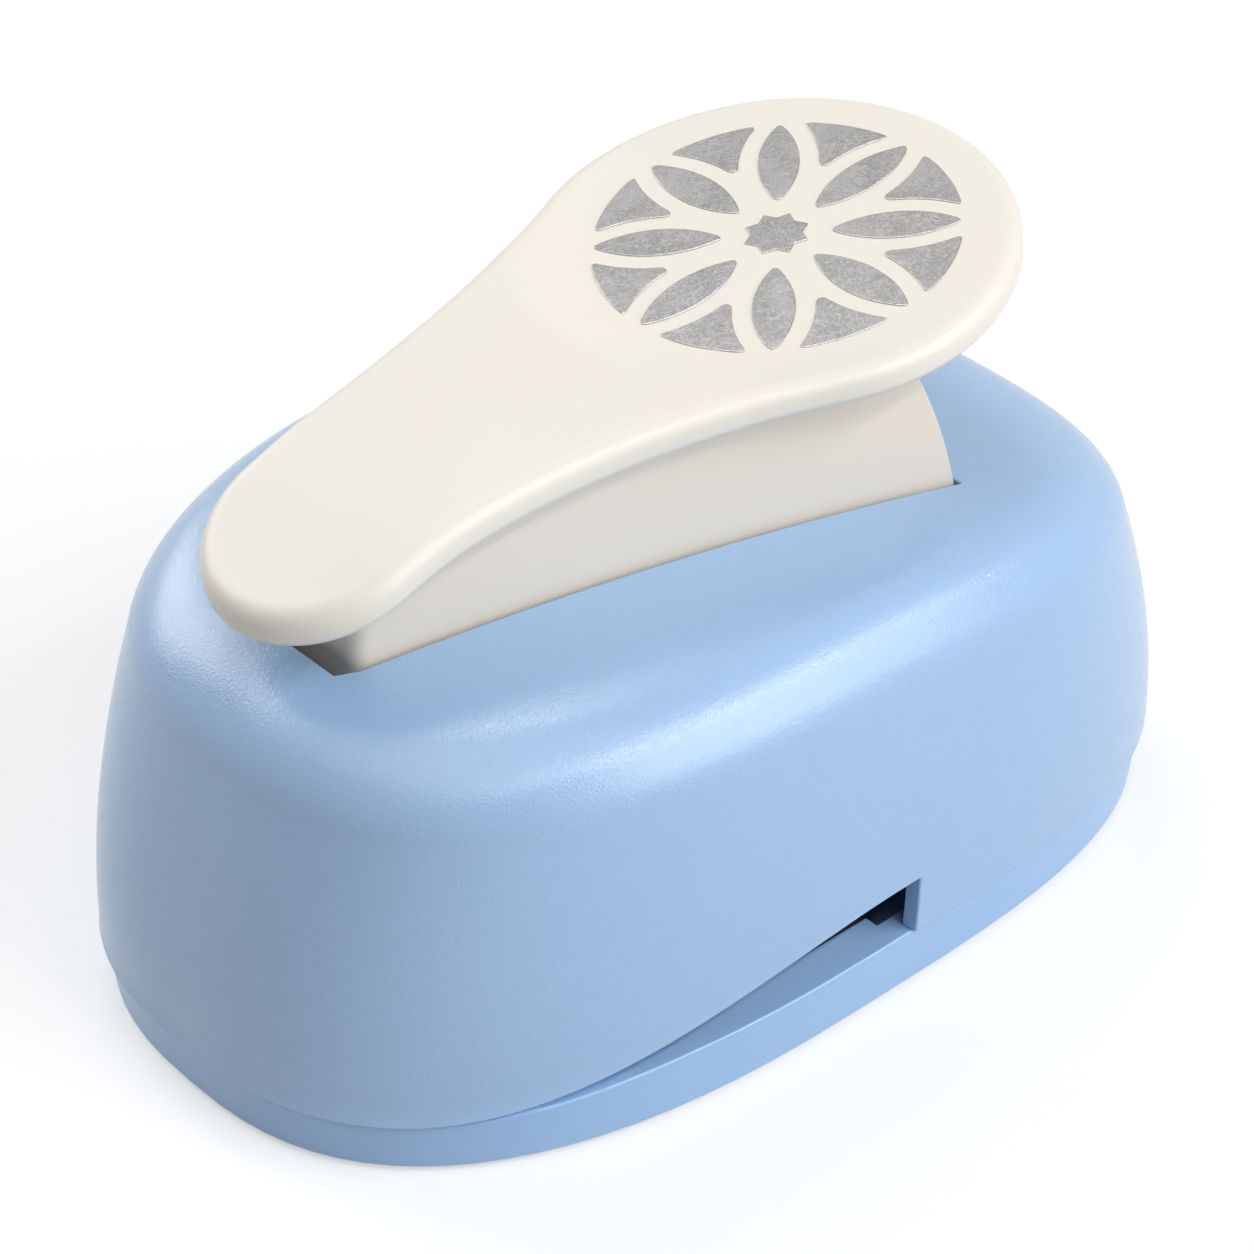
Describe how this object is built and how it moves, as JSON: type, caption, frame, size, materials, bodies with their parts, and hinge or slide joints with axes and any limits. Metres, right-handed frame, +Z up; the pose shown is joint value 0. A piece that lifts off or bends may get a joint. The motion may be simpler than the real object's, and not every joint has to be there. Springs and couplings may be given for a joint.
{
  "type": "embossing craft punch",
  "caption": "Palm-lever craft punch: rounded moulded housing on a low base, spoon-shaped lever with a foil rosette, side paper mouth, sprung embossing punch over a steel die.",
  "frame": {"origin": "middle of the footprint, on the surface that the rubber feet stand on", "axes": "+X along the body from the lever's narrow front end to its paddle, +Y across, +Z up"},
  "size_m": [0.1509, 0.0976, 0.0911],
  "materials": {
    "housing_abs": "satin, fine spark-eroded grain",
    "base_abs": "satin",
    "lever_abs": "smooth satin",
    "rosette_foil": "bright foil with fine scratches",
    "plate_steel": "ground",
    "pin_steel": "polished",
    "screw_steel": "zinc plated",
    "spring_steel": "drawn wire",
    "punch_steel": "hardened, ground",
    "carrier_zinc": "die-cast",
    "bush_brass": "turned",
    "foot_rubber": "moulded"
  },
  "bodies": {
    "housing": {"upper_housing": "housing_abs", "base_tray": "base_abs", "base_feet": "foot_rubber", "housing_screws": "screw_steel", "die_plate": "plate_steel", "throat_spacer": "plate_steel", "guide_plate": "plate_steel", "die_screws": "screw_steel", "guide_posts": "pin_steel", "post_clips": "screw_steel", "return_springs": "spring_steel", "pivot_brackets": "plate_steel", "bracket_screws": "screw_steel", "pivot_pin": "pin_steel", "pin_clips": "screw_steel"},
    "punch": {"punch_carrier": "carrier_zinc", "carrier_bushes": "bush_brass", "punch_block": "punch_steel", "emboss_plate": "bush_brass", "carrier_screws": "screw_steel", "wear_plate": "pin_steel"},
    "lever": {"lever_top": "lever_abs", "lever_frame": "lever_abs", "lever_bushes": "bush_brass", "press_pin": "pin_steel", "rosette_inlay": "rosette_foil"}
  },
  "joints": [
    {"name": "lever_press", "type": "hinge", "parent": "housing", "child": "lever", "pos_m": [-0.045, 0, 0.042], "axis": [0, 1, 0], "range_deg": [0, 12], "stiffness_Nm_per_rad": 2, "springref_deg": -20.05},
    {"name": "punch_stroke", "type": "slide", "parent": "housing", "child": "punch", "axis": [0, 0, -1], "range_m": [0, 0.0046], "deforming": ["return_springs"]}
  ],
  "couplings": [
    {"joint": "punch_stroke", "follows": "lever_press", "m_per_rad": 0.021}
  ]
}
